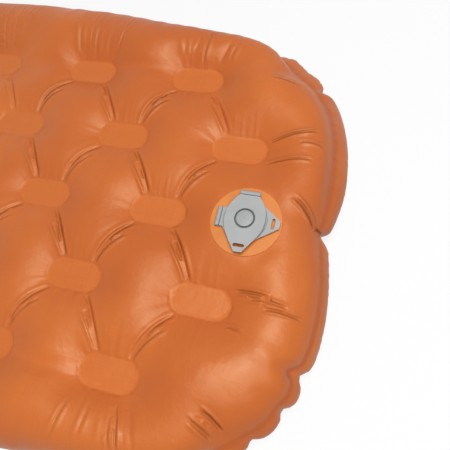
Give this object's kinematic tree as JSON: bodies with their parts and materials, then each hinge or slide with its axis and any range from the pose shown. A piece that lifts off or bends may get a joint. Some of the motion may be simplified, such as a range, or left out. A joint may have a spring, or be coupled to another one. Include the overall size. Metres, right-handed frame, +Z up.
{
  "type": "inflatable sleeping pad",
  "caption": "Inflatable camping sleeping pad: two films welded in a staggered dimple pattern over inner baffle strips, with a flat two-stage flap valve at the head end.",
  "frame": {"origin": "middle of the pad's plan, on the floor it lies on", "axes": "+X along the pad to the head end with the valve, +Y across the pad, +Z up"},
  "size_m": [1.83, 0.5504, 0.0803],
  "materials": {
    "film": "satin coated woven film, orange",
    "inner_film": "plain coated film, not seen",
    "patch": "smooth satin film, brighter orange",
    "moulding": "soft moulded plastic, light grey",
    "silicone": "clear silicone, not seen"
  },
  "bodies": {
    "pad": {"upper_film": "film", "lower_film": "film", "baffle_strip_1": "inner_film", "baffle_strip_2": "inner_film", "baffle_strip_3": "inner_film", "baffle_strip_4": "inner_film", "baffle_strip_5": "inner_film", "valve_patch": "patch", "valve_base": "moulding", "dump_strap": "moulding"},
    "dump_flap": {"dump_cap": "moulding", "check_seat": "moulding", "inflate_strap": "moulding"},
    "inflate_flap": {"inflate_cap": "moulding", "inflate_plug": "moulding"},
    "one_way_flap": {"check_flap": "silicone"}
  },
  "joints": [
    {"name": "dump_cap_hinge", "type": "hinge", "parent": "pad", "child": "dump_flap", "pos_m": [0.7993, 0, 0.0735], "axis": [0, -1, 0], "range_deg": [0, 135], "deforming": ["dump_strap"]},
    {"name": "inflate_cap_hinge", "type": "hinge", "parent": "dump_flap", "child": "inflate_flap", "pos_m": [0.827, 0.02732, 0.07687], "axis": [-1, 0, 0], "range_deg": [0, 160], "deforming": ["inflate_strap"]},
    {"name": "check_flap_slide", "type": "slide", "parent": "dump_flap", "child": "one_way_flap", "axis": [0, 0, -1], "range_m": [0, 0.0015], "stiffness_N_per_m": 5}
  ]
}
